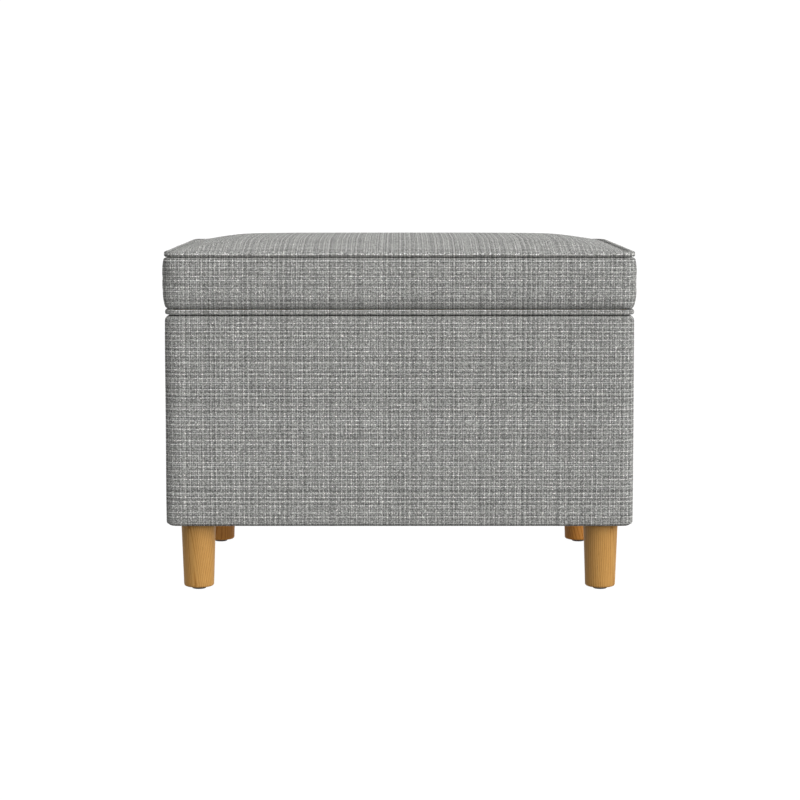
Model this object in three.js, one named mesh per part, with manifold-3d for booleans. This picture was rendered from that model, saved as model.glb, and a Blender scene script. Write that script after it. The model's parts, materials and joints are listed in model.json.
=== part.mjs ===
// Storage ottoman: a fabric-covered box on four turned oak legs. Its padded lid is hinged at the
// back and carried by a folding friction stay on each side. Millimetres, +Z up, the front faces -Y,
// and the origin is on the floor under the middle of the box.

import * as THREE from "three";
import { mergeVertices } from "three/addons/utils/BufferGeometryUtils.js";
import Module from "manifold-3d";

const wasm = await Module();
wasm.setup();

// ---------------------------------------------------------------- driving dimensions

const GAP = 0.3; // left between pieces that touch
const CORNER_STEPS = 5; // facets of one rounded vertical corner

const BODY = { halfX: 303.5, halfY: 227, corner: 14, bottom: 88.4, top: 362.5 };
const LID = { halfX: 305, halfY: 228.5, corner: 17 };
const FABRIC = 1.5;
const LINING = 1;
const PADDING = 5;
const PANEL = 16;
const BOARD = 12;

const TOP_WELT = { radius: 4, z: 442.9, inset: 4 };
const BOTTOM_WELT = { radius: 3.85, z: 368.5, inset: 4.85 };
const BAND_BULGE = 4.4; // how far the lid's side band swells past its seams
const CROWN = 15; // how far the seat stands above its welt

const LEG = { x: 265, y: 188, bottom: 3.7, top: 87, topRadius: 22.6, footRadius: 19.6 };
const BOLT_RADIUS = 4;
const NAIL_RADIUS = 1;
const LEG_BLOCK = { side: 50, height: 18 };

const HINGE = { x: 190, y: 229.5, z: 364.3, length: 60, reach: 22, leaf: 1.3, barrel: 3.2, pin: 1.5 };
const KNUCKLES = 5;
const SCREW_HOLE = 1.9;

const STAY = { plate: 1.5, arm: 2, halfWidth: 8.5, rivet: 2.5, head: 5, headHeight: 1.1 };
const STAY_BOX_PIVOT = { back: 60, down: 90 }; // from the lid's hinge axis
const STAY_LID_PIVOT = { back: 160, down: 14.3 };

// ---------------------------------------------------------------- dimensions worked out

const coverInside = FABRIC + GAP;
const panelInset = coverInside + PADDING + GAP;
const panelX = BODY.halfX - panelInset;
const panelY = BODY.halfY - panelInset;
const innerX = panelX - PANEL;
const innerY = panelY - PANEL;
const bottomZ = BODY.bottom + FABRIC + GAP;
const wallZ = bottomZ + BOARD + GAP;
const panelTop = BODY.top - FABRIC - GAP;
const blockTop = wallZ + LEG_BLOCK.height;
const nutFlange = 1.5;
const deckZ = blockTop + GAP + nutFlange + GAP;
const deckTop = deckZ + 4;
const foldInset = panelInset + PANEL + GAP; // the cover's fold inside the rim
const liningInset = foldInset + FABRIC + GAP;
const cavityX = BODY.halfX - liningInset - LINING;
const cavityY = BODY.halfY - liningInset - LINING;

const lidLiningZ = HINGE.z + GAP / 2 + HINGE.leaf + GAP;
const lidBoardZ = lidLiningZ + LINING + GAP;
const lidBoardTop = lidBoardZ + BOARD;
const seatEdgeInset = 2 * TOP_WELT.radius + GAP;
const seatEdgeZ = TOP_WELT.z;

// ---------------------------------------------------------------- materials

const finish = (color, roughness, metalness = 0) =>
  new THREE.MeshStandardMaterial({ color, roughness, metalness });
const TWEED = finish(0x969693, 0.95);
const OAK = finish(0xc08a45, 0.5);
const FIBREBOARD = finish(0x9c8262, 0.85);
const PLYWOOD = finish(0xc9a878, 0.75);
const FOAM = finish(0xe6dfc6, 0.95);
const WADDING = finish(0xe9e9e6, 1);
const DARK_CLOTH = finish(0x2b2c2e, 0.95);
const ZINC = finish(0xb9bcbf, 0.35, 1);
const BLACK_STEEL = finish(0x2a2b2d, 0.45, 0.9);
const GLIDE = finish(0x2a2420, 0.6);

// ---------------------------------------------------------------- solids and meshes

const group = new THREE.Group();

function add(name, geometry, material) {
  const mesh = new THREE.Mesh(geometry, material);
  mesh.name = name;
  group.add(mesh);
}

function solidOf(geometry) {
  const loose = geometry.index ? geometry.toNonIndexed() : geometry;
  const bare = new THREE.BufferGeometry().setAttribute("position", loose.getAttribute("position"));
  const merged = mergeVertices(bare, 1e-4);
  return new wasm.Manifold(
    new wasm.Mesh({
      numProp: 3,
      vertProperties: merged.attributes.position.array,
      triVerts: new Uint32Array(merged.index.array),
    }),
  );
}

function geometryOf(solid) {
  const mesh = solid.getMesh();
  const positions = new Float32Array(mesh.numVert * 3);
  for (let i = 0; i < mesh.numVert; i++) {
    positions.set(mesh.vertProperties.subarray(i * mesh.numProp, i * mesh.numProp + 3), i * 3);
  }
  return new THREE.BufferGeometry()
    .setAttribute("position", new THREE.BufferAttribute(positions, 3))
    .setIndex(new THREE.BufferAttribute(mesh.triVerts, 1));
}

const cut = (geometry, tools) =>
  geometryOf(tools.reduce((rest, tool) => rest.subtract(solidOf(tool)), solidOf(geometry)));
const join = (geometry, others) =>
  geometryOf(others.reduce((whole, other) => whole.add(solidOf(other)), solidOf(geometry)));

// A box between two limits on each axis, in either order.
function block(x, y, z) {
  const size = [x, y, z].map(([from, to]) => Math.abs(to - from));
  const middle = [x, y, z].map(([from, to]) => (from + to) / 2);
  return new THREE.BoxGeometry(...size).translate(...middle);
}

// A turned piece about Z. The profile is [radius, z] pairs, outside of the material on its right.
function turned(profile, segments) {
  const points = profile.map(([radius, z]) => new THREE.Vector2(radius, z));
  return new THREE.LatheGeometry(points, segments).rotateX(Math.PI / 2);
}

function rod(radius, bottom, top, segments = 12) {
  return turned([[0, bottom], [radius, bottom], [radius, top], [0, top]], segments);
}

// Turns a piece made about Z to lie about X, on the line through y and z.
const alongX = (geometry, y, z) => geometry.rotateY(Math.PI / 2).translate(0, y, z);

// A plate of a shape drawn in Y and Z, between two places on X.
function plateX(shape, from, to) {
  const [low, high] = from < to ? [from, to] : [to, from];
  const plate = new THREE.ExtrudeGeometry(shape, {
    depth: high - low,
    bevelEnabled: false,
    curveSegments: 8,
  });
  const axes = [new THREE.Vector3(0, 1, 0), new THREE.Vector3(0, 0, 1), new THREE.Vector3(1, 0, 0)];
  return plate.applyMatrix4(new THREE.Matrix4().makeBasis(...axes)).translate(low, 0, 0);
}

const roundHole = (x, y, radius) => new THREE.Path().absarc(x, y, radius, 0, 2 * Math.PI, true);

// ---------------------------------------------------------------- soft shapes

// A rectangle with round corners, anticlockwise seen from above.
function outline(halfX, halfY, corner) {
  const radius = Math.max(corner, 0.5);
  const points = [];
  for (let quarter = 0; quarter < 4; quarter++) {
    const centreX = (halfX - radius) * [1, -1, -1, 1][quarter];
    const centreY = (halfY - radius) * [1, 1, -1, -1][quarter];
    for (let step = 0; step <= CORNER_STEPS; step++) {
      const angle = ((quarter + step / CORNER_STEPS) * Math.PI) / 2;
      points.push([centreX + radius * Math.cos(angle), centreY + radius * Math.sin(angle)]);
    }
  }
  return points;
}

// Joins level rings of points, going up on the outside. Open stacks are closed by a fan at each end.
function loft(rings, closed) {
  const count = rings[0].length;
  const positions = rings.flat(2);
  const faces = [];
  const last = closed ? rings.length : rings.length - 1;
  for (let i = 0; i < last; i++) {
    const next = (i + 1) % rings.length;
    for (let j = 0; j < count; j++) {
      const side = (j + 1) % count;
      const [a, b, c, d] = [i * count + j, i * count + side, next * count + side, next * count + j];
      faces.push(a, b, c, a, c, d);
    }
  }
  if (!closed) {
    const bottom = positions.length / 3;
    positions.push(0, 0, rings[0][0][2], 0, 0, rings.at(-1)[0][2]);
    for (let j = 0; j < count; j++) {
      const side = (j + 1) % count;
      faces.push(bottom, side, j);
      faces.push(bottom + 1, (rings.length - 1) * count + j, (rings.length - 1) * count + side);
    }
  }
  return new THREE.BufferGeometry()
    .setAttribute("position", new THREE.Float32BufferAttribute(positions, 3))
    .setIndex(faces);
}

const level = (points, z) => points.map(([x, y]) => [x, y, z]);

// A ring of the box's or the lid's outline, set in from it.
const insetRing = (form, inset, z) =>
  level(outline(form.halfX - inset, form.halfY - inset, form.corner - inset), z);

// A closed section of [inset, z] points carried round the outline of the box or the lid.
const hoop = (form, section) => loft(section.map(([inset, z]) => insetRing(form, inset, z)), true);

function weltSection({ radius, z, inset }, sides = 10) {
  return Array.from({ length: sides }, (_, i) => {
    const angle = (2 * Math.PI * i) / sides;
    return [inset - radius * Math.cos(angle), z + radius * Math.sin(angle)];
  });
}

// Rings of the seat's crown from its edge inwards, a share of the edge's size each.
const CROWN_SHARES = [1, 0.97, 0.93, 0.87, 0.79, 0.68, 0.52, 0.3];

function crownRings(inset, edgeZ, rise) {
  const edge = outline(LID.halfX - inset, LID.halfY - inset, LID.corner - inset);
  return CROWN_SHARES.map((share) => {
    const scaled = edge.map(([x, y]) => [x * share, y * share]);
    return level(scaled, edgeZ + rise * (1 - share ** 6));
  });
}

// The band's swell: nothing at its seams and most of it over the middle of its height.
const bandLow = BOTTOM_WELT.z + BOTTOM_WELT.radius + GAP;
const bandHigh = TOP_WELT.z - TOP_WELT.radius - GAP;
const BAND_SEAM_INSET = 2.6;
const BAND_STEPS = [0, 0.06, 0.16, 0.5, 0.84, 0.94, 1];

function bandOutside(share) {
  const fromMiddle = Math.abs(2 * share - 1);
  return BAND_SEAM_INSET - BAND_BULGE * (1 - fromMiddle ** 5);
}

// ---------------------------------------------------------------- box

function addBox() {
  const wall = [wallZ, panelTop];
  for (const [name, side] of [["front", -1], ["back", 1]]) {
    const y = [side * innerY, side * panelY];
    add(`${name}_panel`, block([-panelX, panelX], y, wall), FIBREBOARD);
  }
  for (const [name, side] of [["left", -1], ["right", 1]]) {
    const x = [side * innerX, side * panelX];
    add(`${name}_panel`, block(x, [GAP - innerY, innerY - GAP], wall), FIBREBOARD);
  }
  const bottom = block([-panelX, panelX], [-panelY, panelY], [bottomZ, bottomZ + BOARD]);
  add("bottom_panel", cut(bottom, legPlaces().map((at) => boltHole(at))), PLYWOOD);
  const deck = [GAP - cavityX, cavityX - GAP];
  add("storage_floor", block(deck, [GAP - cavityY, cavityY - GAP], [deckZ, deckTop]), DARK_CLOTH);
}

function addPadding() {
  const padZ = [bottomZ + 4, panelTop - 3];
  const padX = BODY.halfX - BODY.corner;
  const padY = BODY.halfY - BODY.corner;
  for (const [name, side] of [["front", -1], ["back", 1]]) {
    const outer = side * (BODY.halfY - coverInside);
    add(`${name}_padding`, block([-padX, padX], [outer - side * PADDING, outer], padZ), WADDING);
  }
  for (const [name, side] of [["left", -1], ["right", 1]]) {
    const outer = side * (BODY.halfX - coverInside);
    add(`${name}_padding`, block([outer - side * PADDING, outer], [-padY, padY], padZ), WADDING);
  }
}

// The cover runs up the outside, over the rim and down inside it, and turns under the bottom.
function addBodyCover() {
  const round = 4;
  const hem = 32;
  const foldDepth = 25;
  const bend = round * (1 - Math.SQRT1_2);
  const { bottom, top } = BODY;
  const outside = [
    [hem, bottom],
    [round, bottom],
    [bend, bottom + bend],
    [0, bottom + round],
    [0, top - round],
    [bend, top - bend],
    [round, top],
    [foldInset + FABRIC, top],
    [foldInset + FABRIC, top - foldDepth],
  ];
  const inside = [
    [foldInset, top - foldDepth],
    [foldInset, top - FABRIC],
    [round, top - FABRIC],
    [FABRIC, top - round],
    [FABRIC, bottom + round],
    [round, bottom + FABRIC],
    [hem, bottom + FABRIC],
  ];
  add("body_cover", hoop(BODY, [...outside, ...inside]), TWEED);
}

function addLinings() {
  const top = BODY.top - 6;
  const low = deckTop + GAP;
  const far = liningInset + LINING;
  const section = [[far, top], [far, low], [liningInset, low], [liningInset, top]];
  add("storage_lining", hoop(BODY, section), DARK_CLOTH);
  const dustZ = [LEG.top + GAP, BODY.bottom - GAP];
  const dust = block([14 - BODY.halfX, BODY.halfX - 14], [14 - BODY.halfY, BODY.halfY - 14], dustZ);
  add("dust_cover", cut(dust, legPlaces().map((at) => boltHole(at))), DARK_CLOTH);
}

// ---------------------------------------------------------------- legs

function legPlaces() {
  return [
    { name: "front_left", x: -LEG.x, y: -LEG.y },
    { name: "front_right", x: LEG.x, y: -LEG.y },
    { name: "back_left", x: -LEG.x, y: LEG.y },
    { name: "back_right", x: LEG.x, y: LEG.y },
  ];
}

const boltHole = ({ x, y }) => rod(BOLT_RADIUS + 0.5, 0, wallZ + 1).translate(x, y, 0);

const boltBottom = LEG.top - 28;
const boltTop = blockTop - 1.5;
const NUT_BARREL = { radius: 5.2, depth: 12, flange: 11 };

function legShape() {
  const holeRadius = BOLT_RADIUS + GAP;
  const nailHole = NAIL_RADIUS + GAP;
  return turned(
    [
      [0, LEG.bottom + 13],
      [nailHole, LEG.bottom + 13],
      [nailHole, LEG.bottom],
      [LEG.footRadius - 3, LEG.bottom],
      [LEG.footRadius - 0.9, LEG.bottom + 1],
      [LEG.footRadius, LEG.bottom + 3.5],
      [LEG.topRadius, LEG.top],
      [holeRadius, LEG.top],
      [holeRadius, boltBottom - GAP],
      [0, boltBottom - GAP],
    ],
    28,
  );
}

function glideShape() {
  const base = LEG.bottom - GAP;
  return turned(
    [
      [0, 0],
      [8, 0],
      [9.6, 1.3],
      [9.6, base],
      [NAIL_RADIUS, base],
      [NAIL_RADIUS, LEG.bottom + 11],
      [0, LEG.bottom + 12.5],
    ],
    20,
  );
}

function bolt() {
  const radius = BOLT_RADIUS;
  const tip = 1.2;
  return turned(
    [
      [0, boltBottom],
      [radius - tip, boltBottom],
      [radius, boltBottom + tip],
      [radius, boltTop - tip],
      [radius - tip, boltTop],
      [0, boltTop],
    ],
    12,
  );
}

function teeNut() {
  const bore = BOLT_RADIUS + GAP;
  const flangeZ = blockTop + GAP;
  return turned(
    [
      [bore, flangeZ - NUT_BARREL.depth],
      [NUT_BARREL.radius, flangeZ - NUT_BARREL.depth],
      [NUT_BARREL.radius, flangeZ],
      [NUT_BARREL.flange, flangeZ],
      [NUT_BARREL.flange, flangeZ + nutFlange],
      [bore, flangeZ + nutFlange],
      [bore, flangeZ - NUT_BARREL.depth],
    ],
    14,
  );
}

function legBlock({ x, y }) {
  const [sideX, sideY] = [Math.sign(x), Math.sign(y)];
  const [outX, outY] = [innerX - GAP, innerY - 2 * GAP];
  const wood = block(
    [sideX * (outX - LEG_BLOCK.side), sideX * outX],
    [sideY * (outY - LEG_BLOCK.side), sideY * outY],
    [wallZ, blockTop],
  );
  return cut(wood, [rod(NUT_BARREL.radius + GAP, wallZ - 1, blockTop + 1).translate(x, y, 0)]);
}

function addLegs() {
  for (const at of legPlaces()) {
    add(`leg_${at.name}`, legShape().translate(at.x, at.y, 0), OAK);
    add(`glide_${at.name}`, glideShape().translate(at.x, at.y, 0), GLIDE);
    add(`hanger_bolt_${at.name}`, bolt().translate(at.x, at.y, 0), ZINC);
    add(`tee_nut_${at.name}`, teeNut().translate(at.x, at.y, 0), ZINC);
    add(`leg_block_${at.name}`, legBlock(at), PLYWOOD);
  }
}

// ---------------------------------------------------------------- lid

function addLid() {
  const inset = 2 * BOTTOM_WELT.radius + 2.5;
  const layer = (low, high) => loft([insetRing(LID, inset, low), insetRing(LID, inset, high)], false);
  add("lid_board", layer(lidBoardZ, lidBoardTop), PLYWOOD);
  add("lid_lining", layer(lidLiningZ, lidLiningZ + LINING), DARK_CLOTH);
  add("lid_foam", lidFoam(), FOAM);
  add("seat_cover", seatCover(), TWEED);
  add("lid_band", lidBand(), TWEED);
  add("top_welt", hoop(LID, weltSection(TOP_WELT)), TWEED);
  add("bottom_welt", cut(hoop(LID, weltSection(BOTTOM_WELT)), hingeNotches()), TWEED);
}

function lidFoam() {
  const clear = FABRIC + GAP;
  const low = lidBoardTop + GAP;
  const side = BAND_STEPS.map((share) => [
    bandOutside(share) + clear,
    bandLow + share * (bandHigh - bandLow),
  ]).filter(([, z]) => z > low + 2 && z < bandHigh - 2);
  const shoulder = seatEdgeInset + GAP;
  const top = crownRings(shoulder, seatEdgeZ - GAP, CROWN - FABRIC);
  const stack = [[side[0][0] + 1, low], ...side, [shoulder, bandHigh - 1]];
  return loft([...stack.map(([inset, z]) => insetRing(LID, inset, z)), ...top], false);
}

function seatCover() {
  const under = crownRings(seatEdgeInset, seatEdgeZ, CROWN - FABRIC).reverse();
  const over = crownRings(seatEdgeInset, seatEdgeZ + FABRIC, CROWN - FABRIC);
  return loft([...under, ...over], false);
}

function lidBand() {
  const at = (share) => bandLow + share * (bandHigh - bandLow);
  const outside = BAND_STEPS.map((share) => [bandOutside(share), at(share)]);
  const inside = BAND_STEPS.map((share) => [bandOutside(share) + FABRIC, at(share)]);
  return hoop(LID, [...outside, ...inside.reverse()]);
}

// Where the bottom welt is pressed flat over the hinges.
function hingeNotches() {
  return [-1, 1].map((side) => {
    const half = HINGE.length / 2 + 1;
    const x = [side * HINGE.x - half, side * HINGE.x + half];
    const leaf = block(x, [LID.halfY - 20, HINGE.y], [BODY.top, lidLiningZ]);
    const barrel = rod(HINGE.barrel + GAP, x[0], x[1], 16);
    return join(leaf, [alongX(barrel, HINGE.y, HINGE.z)]);
  });
}

// ---------------------------------------------------------------- hinges

// The leaf's own knuckles are the even or the odd ones.
function hingeLeaf(centreX, z, first) {
  const { length, reach, leaf, barrel, pin, y, z: axisZ } = HINGE;
  const from = centreX - length / 2;
  const pitch = length / KNUCKLES;
  const plate = block([from, from + length], [y - reach, y], [z, z + leaf]);
  const rings = [];
  const spaces = [];
  for (let i = 0; i < KNUCKLES; i++) {
    const [start, end] = [from + i * pitch, from + (i + 1) * pitch];
    if (i % 2 === first) {
      rings.push(alongX(rod(barrel, start + GAP / 2, end - GAP / 2, 16), y, axisZ));
    } else {
      spaces.push(block([start - GAP / 2, end + GAP / 2], [y - 4, y + 4], [axisZ - 4, axisZ + 4]));
    }
  }
  const screws = [-1, 0, 1].map((place) => {
    const hole = rod(SCREW_HOLE, z - 1, z + leaf + 1, 10);
    return hole.translate(centreX + place * 20, y - (place ? 12 : 17), 0);
  });
  const bore = alongX(rod(pin + GAP, from - 1, from + length + 1, 16), y, axisZ);
  return cut(join(cut(plate, spaces), rings), [bore, ...screws]);
}

function addHinges() {
  for (const [name, side] of [["left", -1], ["right", 1]]) {
    const centre = side * HINGE.x;
    const boxLeafZ = HINGE.z - GAP / 2 - HINGE.leaf;
    add(`${name}_hinge_box_leaf`, hingeLeaf(centre, boxLeafZ, 0), ZINC);
    add(`${name}_hinge_lid_leaf`, hingeLeaf(centre, HINGE.z + GAP / 2, 1), ZINC);
    const half = HINGE.length / 2 + 0.5;
    add(`${name}_hinge_pin`, alongX(rod(HINGE.pin, centre - half, centre + half), HINGE.y, HINGE.z), ZINC);
  }
}

// ---------------------------------------------------------------- folding stays

// The four pivots of a stay are the corners of a parallelogram, so that each arm keeps parallel to
// the opposite side at every angle of the lid.
const boxPivot = new THREE.Vector2(HINGE.y - STAY_BOX_PIVOT.back, HINGE.z - STAY_BOX_PIVOT.down);
const lidPivot = new THREE.Vector2(HINGE.y - STAY_LID_PIVOT.back, HINGE.z - STAY_LID_PIVOT.down);
const elbow = new THREE.Vector2(
  boxPivot.x - STAY_LID_PIVOT.back,
  boxPivot.y - STAY_LID_PIVOT.down,
);

// Layers of a stay, as distances from the middle of the box on its own side.
const plateX0 = cavityX - GAP;
const plateX1 = plateX0 - STAY.plate;
const lowerX0 = plateX1 - GAP;
const lowerX1 = lowerX0 - STAY.arm;
const upperX0 = lowerX1 - GAP;
const upperX1 = upperX0 - STAY.arm;

function armShape(from, to) {
  const angle = Math.atan2(to.y - from.y, to.x - from.x);
  const quarter = Math.PI / 2;
  const shape = new THREE.Shape();
  shape.absarc(from.x, from.y, STAY.halfWidth, angle + quarter, angle + 3 * quarter, false);
  shape.absarc(to.x, to.y, STAY.halfWidth, angle - quarter, angle + quarter, false);
  shape.closePath();
  shape.holes = [from, to].map((pivot) => roundHole(pivot.x, pivot.y, STAY.rivet + GAP));
  return shape;
}

function boxBracket(side) {
  const halfY = 13;
  const halfZ = 34;
  const shape = new THREE.Shape();
  shape.absarc(boxPivot.x, boxPivot.y - halfZ + halfY, halfY, Math.PI, 2 * Math.PI, false);
  shape.absarc(boxPivot.x, boxPivot.y + halfZ - halfY, halfY, 0, Math.PI, false);
  shape.closePath();
  const screwAt = halfZ - halfY + 3;
  shape.holes = [-screwAt, screwAt].map((dz) => roundHole(boxPivot.x, boxPivot.y + dz, SCREW_HOLE));
  shape.holes.push(roundHole(boxPivot.x, boxPivot.y, STAY.rivet + GAP));
  const plate = plateX(shape, side * plateX0, side * plateX1);
  // A stop that the lower arm meets when the lid is fully open.
  const stopY = boxPivot.x + STAY.halfWidth + 1;
  const stop = block(
    [side * plateX0, side * lowerX1],
    [stopY, stopY + 2],
    [boxPivot.y + 10, boxPivot.y + 18],
  );
  return join(plate, [stop]);
}

// An angle: one leg under the lid, the other hanging beside the upper arm.
function lidBracket(side) {
  const halfY = 12;
  const reach = 24;
  const hang = new THREE.Shape();
  const top = lidLiningZ - GAP;
  hang.moveTo(lidPivot.x + halfY, top);
  hang.lineTo(lidPivot.x - halfY, top);
  hang.absarc(lidPivot.x, lidPivot.y, STAY.halfWidth, Math.PI, 2 * Math.PI, false);
  hang.closePath();
  hang.holes = [roundHole(lidPivot.x, lidPivot.y, STAY.rivet + GAP)];
  const flange = block(
    [side * lowerX0, side * (lowerX0 - reach)],
    [lidPivot.x - halfY, lidPivot.x + halfY],
    [top - STAY.plate, top],
  );
  const screws = [-6, 6].map((dy) =>
    rod(SCREW_HOLE, top - 3, top + 1, 10).translate(side * (lowerX0 - 15), lidPivot.x + dy, 0),
  );
  return cut(join(plateX(hang, side * lowerX0, side * lowerX1), [flange]), screws);
}

// A rivet between two places on X, with a flat head at each end.
function rivet(side, from, to, pivot) {
  const [low, high] = [side * from, side * to].sort((a, b) => a - b);
  const { rivet: shank, head, headHeight } = STAY;
  const profile = [
    [0, low - headHeight],
    [head - 0.6, low - headHeight],
    [head, low - 0.4],
    [head, low],
    [shank, low],
    [shank, high],
    [head, high],
    [head, high + 0.4],
    [head - 0.6, high + headHeight],
    [0, high + headHeight],
  ];
  return alongX(turned(profile, 14), pivot.x, pivot.y);
}

// The box pivot's outer end is flush with its plate, because the plate lies on the wall.
function boxRivet(side) {
  const { rivet: shank, head, headHeight } = STAY;
  const inner = lowerX1 - GAP / 2;
  const stations = [
    [0, plateX0],
    [shank, plateX0],
    [shank, inner],
    [head, inner],
    [head - 0.6, inner - headHeight],
    [0, inner - headHeight],
  ].map(([radius, x]) => [radius, side * x]);
  const rising = side < 0 ? stations : stations.reverse();
  return alongX(turned(rising, 14), boxPivot.x, boxPivot.y);
}

function addStays() {
  for (const [name, side] of [["left", -1], ["right", 1]]) {
    const [lower, upper] = [armShape(boxPivot, elbow), armShape(lidPivot, elbow)];
    const under = GAP / 2;
    add(`${name}_stay_box_bracket`, boxBracket(side), BLACK_STEEL);
    add(`${name}_stay_box_rivet`, boxRivet(side), ZINC);
    add(`${name}_stay_lower_arm`, plateX(lower, side * lowerX0, side * lowerX1), BLACK_STEEL);
    add(`${name}_stay_elbow_rivet`, rivet(side, lowerX0 + under, upperX1 - under, elbow), ZINC);
    add(`${name}_stay_upper_arm`, plateX(upper, side * upperX0, side * upperX1), BLACK_STEEL);
    add(`${name}_stay_lid_rivet`, rivet(side, lowerX0 + under, upperX1 - under, lidPivot), ZINC);
    add(`${name}_stay_lid_bracket`, lidBracket(side), BLACK_STEEL);
  }
}

addBox();
addPadding();
addBodyCover();
addLinings();
addLegs();
addLid();
addHinges();
addStays();

export default group;
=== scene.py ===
"""Looks of the storage ottoman: tweed covers, oak legs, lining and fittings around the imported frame.

Metres, +Z up, the front faces -Y. Every place comes from the frame's own nodes.
"""

import json
import math

import bmesh
import bpy
import numpy as np
from mathutils import Matrix, Vector, noise


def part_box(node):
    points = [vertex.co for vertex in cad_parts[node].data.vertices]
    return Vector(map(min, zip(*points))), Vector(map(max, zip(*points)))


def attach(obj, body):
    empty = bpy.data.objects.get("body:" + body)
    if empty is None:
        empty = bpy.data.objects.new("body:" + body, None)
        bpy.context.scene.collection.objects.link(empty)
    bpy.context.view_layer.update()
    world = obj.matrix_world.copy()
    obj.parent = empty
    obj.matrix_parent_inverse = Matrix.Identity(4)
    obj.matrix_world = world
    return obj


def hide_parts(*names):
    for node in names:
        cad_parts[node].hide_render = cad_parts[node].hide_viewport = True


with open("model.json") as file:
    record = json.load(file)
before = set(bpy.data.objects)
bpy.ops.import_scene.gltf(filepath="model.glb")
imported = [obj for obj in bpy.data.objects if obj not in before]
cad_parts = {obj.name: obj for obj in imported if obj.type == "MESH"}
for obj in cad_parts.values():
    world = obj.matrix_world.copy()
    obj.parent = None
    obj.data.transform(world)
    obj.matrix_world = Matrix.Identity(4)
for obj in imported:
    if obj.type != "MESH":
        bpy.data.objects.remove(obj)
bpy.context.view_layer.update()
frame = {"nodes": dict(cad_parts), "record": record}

MM = 0.001

# Cloth
COVER = 1.3 * MM  # thickness of the tweed
LINING = 0.8 * MM  # thickness of the black lining cloth
WARP_PITCH = 1.055 * MM  # from one yarn of the tweed to the next
WEFT_PITCH = 0.915 * MM
BASE_TONE = 0.3  # of the grey yarns
PALE_WARP = 0.62  # tones of the pale threads
PALE_WEFT = 0.8
THREAD_GROUP = 22.0  # yarns in a group with three pale threads
SETTLING_FRAMES = 20
STRETCHED_CLOTH = {
    "quality": 6,
    "mass": 0.3,
    "tension_stiffness": 60,
    "compression_stiffness": 30,
    "shear_stiffness": 20,
    "bending_stiffness": 4,
    "use_pressure": True,
}

# Outlines: how many steps a ring takes along each side and round each corner
LONG_STEPS = 104
SHORT_STEPS = 78
CORNER_STEPS = 10

# Camera
LENS = 103.63
CAMERA_DISTANCE = 2.9626  # in front of the lid's front
CAMERA_HEIGHT = 0.5702
CAMERA_ASIDE = 0.0006
CAMERA_DOWN = 6.084  # degrees

# Light
FLOOR_LIGHT = (0.42, 0.87)  # from the left side of the floor to the right
CEILING_LIGHT = (0.06, 1.15)  # from the walls to straight above
KEY_LIGHT = (0.66, -0.5, 0.3)  # towards the lamp
FRONT_LIGHT = (0.1, -0.8, 0.55)
BACK_LIGHT = (0.15, 0.8, 0.18)

# Seat and lid
SEAT_ROLL = 35 * MM  # how far in from its edge the seat has done most of its rise
SEAT_GRID = (120, 90)
SEAM_ROWS = (0, 0.4, 0.9, 1.6, 2.6)  # mm from a seam of the band, where its rows stand closer
LOWER_DRAW = ((4.2 * MM, 9 * MM), (3.6 * MM, 0.7 * MM))  # depth and reach of the soft and the sharp draw
UPPER_DRAW = ((2.4 * MM, 6 * MM), (6 * MM, 0.6 * MM))

# Box
RIM_ROUND = 3.6 * MM
RIM_RISE = 2.5 * MM  # how far the padding rounds the rim up
FOLD = 24.2 * MM  # from the cover's outside to its fold inside the rim

SIDES = (("left", -1), ("right", 1))
LEGS = ("front_left", "front_right", "back_left", "back_right")
GRAIN_TURNS = (10, 75, 160, 250)
# Tints for the legs' oak: the back legs, under the box, get a darker and redder tint, which is painted shade;
# the front legs keep the oak's own colour.
UNSHADED_LEG_TINT, SHADED_LEG_TINT = (1, 1, 1, 1), (1, 0.78, 0.52, 1)
LEG_SHADE_TINTS = (UNSHADED_LEG_TINT, UNSHADED_LEG_TINT, SHADED_LEG_TINT, SHADED_LEG_TINT)


# ---------------------------------------------------------------- places taken from the frame


class Form:
    """A rectangle with round corners: the plan of the box or of the lid."""

    def __init__(self, half_x, half_y, corner):
        self.half_x, self.half_y, self.corner = half_x, half_y, corner

    def inset(self, distance):
        corner = max(self.corner - distance, 0.6 * MM)
        return Form(self.half_x - distance, self.half_y - distance, corner)


def form_of(node, corner):
    low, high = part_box(node)
    return Form((high.x - low.x) / 2, (high.y - low.y) / 2, corner)


BODY = form_of("body_cover", 14 * MM)
BODY_LOW, BODY_HIGH = (corner.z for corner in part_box("body_cover"))
LID = form_of("top_welt", 17 * MM)


def middle_of(node):
    low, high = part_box(node)
    return (low + high) / 2


def half_of(node):
    """Half the size of a node."""
    low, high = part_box(node)
    return (high - low) / 2


# The CAD's welts, and the cords that stand for them. The cords are a little thinner and lower.
TOP_WELT_RADIUS = 4 * MM
TOP_WELT_Z = middle_of("top_welt").z
BOTTOM_WELT_RADIUS = 3.85 * MM
BOTTOM_WELT_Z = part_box("bottom_welt")[1].z - BOTTOM_WELT_RADIUS
UPPER_CORD = {
    "radius": 3.8 * MM,
    "middle_z": TOP_WELT_Z - 0.3 * MM,
    "outer": 0.4 * MM,  # in from the lid's outline
    "squareness": 0.7,
    "seed": 21.0,
}
LOWER_CORD = {
    "radius": 3.4 * MM,
    "middle_z": BOTTOM_WELT_Z - 0.4 * MM,
    "outer": LID.half_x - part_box("bottom_welt")[1].x,
    "squareness": 0.75,
    "seed": 33.0,
}

BAND_LOW, BAND_HIGH = (corner.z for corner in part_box("lid_band"))
BAND_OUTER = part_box("lid_band")[1].x
SEAT_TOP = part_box("seat_cover")[1].z
HINGE_AXIS = middle_of("right_hinge_pin")
HINGE_REACH = half_of("right_hinge_pin").x
BARREL_RADIUS = half_of("right_hinge_box_leaf").z


# ---------------------------------------------------------------- meshes


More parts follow.
